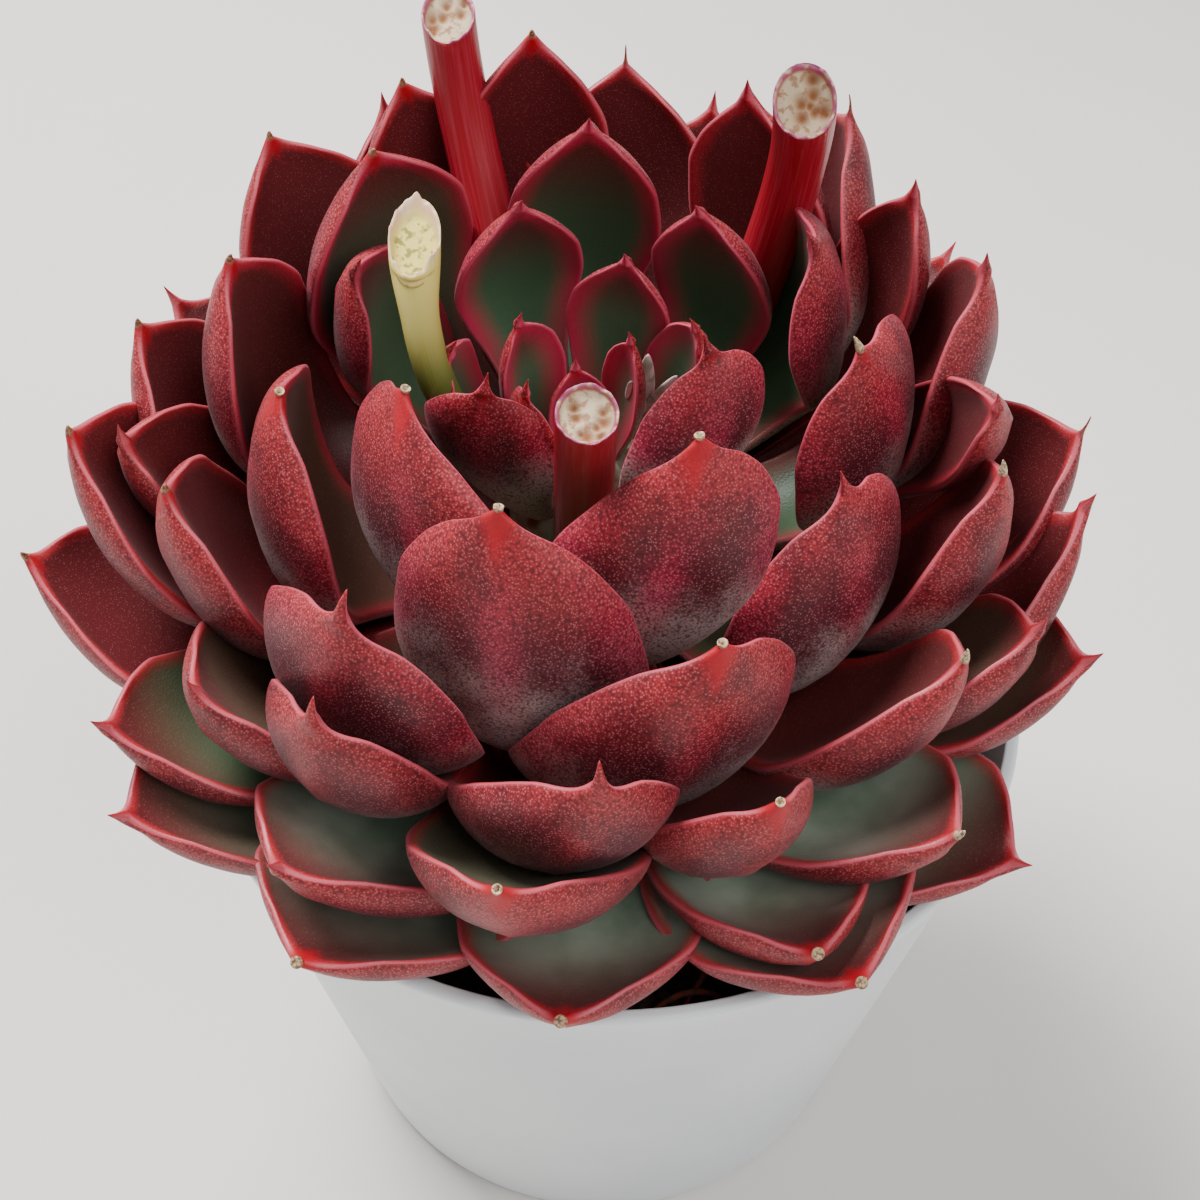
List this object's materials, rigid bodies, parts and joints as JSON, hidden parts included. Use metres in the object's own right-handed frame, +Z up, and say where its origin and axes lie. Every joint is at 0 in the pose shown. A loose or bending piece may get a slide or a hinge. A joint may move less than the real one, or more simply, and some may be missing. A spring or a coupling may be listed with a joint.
{
  "type": "potted echeveria",
  "caption": "Fleshy pointed leaves in a leaning rosette, with cut flower stalk stubs, in soil in a round tapered plastic pot.",
  "frame": {"origin": "middle of the pot's flat underside", "axes": "+Z up along the pot's axis, +Y towards the rosette's high back, +X to the right seen from the front; the rosette leans towards -Y"},
  "size_m": [0.1166, 0.1197, 0.1366],
  "materials": {
    "pot": "smooth moulded, matte, cool white",
    "soil": "crumbly peat mix, near black",
    "stem": "living plant tissue, waxy, green with red edges",
    "leaf": "living leaf, waxy, dark green face with red margins and a speckled mauve back",
    "flower_stalk": "living stalk, waxy, deep red with a pale cut end",
    "green_stalk": "living stalk, waxy, pale green with a drying end"
  },
  "bodies": {
    "root": {"pot": "pot", "soil": "soil", "stem_and_heart": "stem", "flower_stalk_front": "flower_stalk", "flower_stalk_left": "flower_stalk", "flower_stalk_right": "flower_stalk", "flower_stalk_green": "green_stalk", "leaf_01": "leaf", "leaf_02": "leaf", "leaf_03": "leaf", "leaf_04": "leaf", "leaf_05": "leaf", "leaf_06": "leaf", "leaf_07": "leaf", "leaf_08": "leaf", "leaf_09": "leaf", "leaf_10": "leaf", "leaf_11": "leaf", "leaf_12": "leaf", "leaf_13": "leaf", "leaf_14": "leaf", "leaf_15": "leaf", "leaf_16": "leaf", "leaf_17": "leaf", "leaf_18": "leaf", "leaf_19": "leaf", "leaf_20": "leaf", "leaf_21": "leaf", "leaf_22": "leaf", "leaf_23": "leaf", "leaf_24": "leaf", "leaf_25": "leaf", "leaf_26": "leaf", "leaf_27": "leaf", "leaf_28": "leaf", "leaf_29": "leaf", "leaf_30": "leaf", "leaf_31": "leaf", "leaf_32": "leaf", "leaf_33": "leaf", "leaf_34": "leaf", "leaf_35": "leaf", "leaf_36": "leaf", "leaf_37": "leaf", "leaf_38": "leaf", "leaf_39": "leaf", "leaf_40": "leaf", "leaf_41": "leaf", "leaf_42": "leaf", "leaf_43": "leaf", "leaf_44": "leaf", "leaf_45": "leaf", "leaf_46": "leaf", "leaf_47": "leaf", "leaf_48": "leaf", "leaf_49": "leaf", "leaf_50": "leaf", "leaf_51": "leaf", "leaf_52": "leaf"}
  },
  "joints": []
}
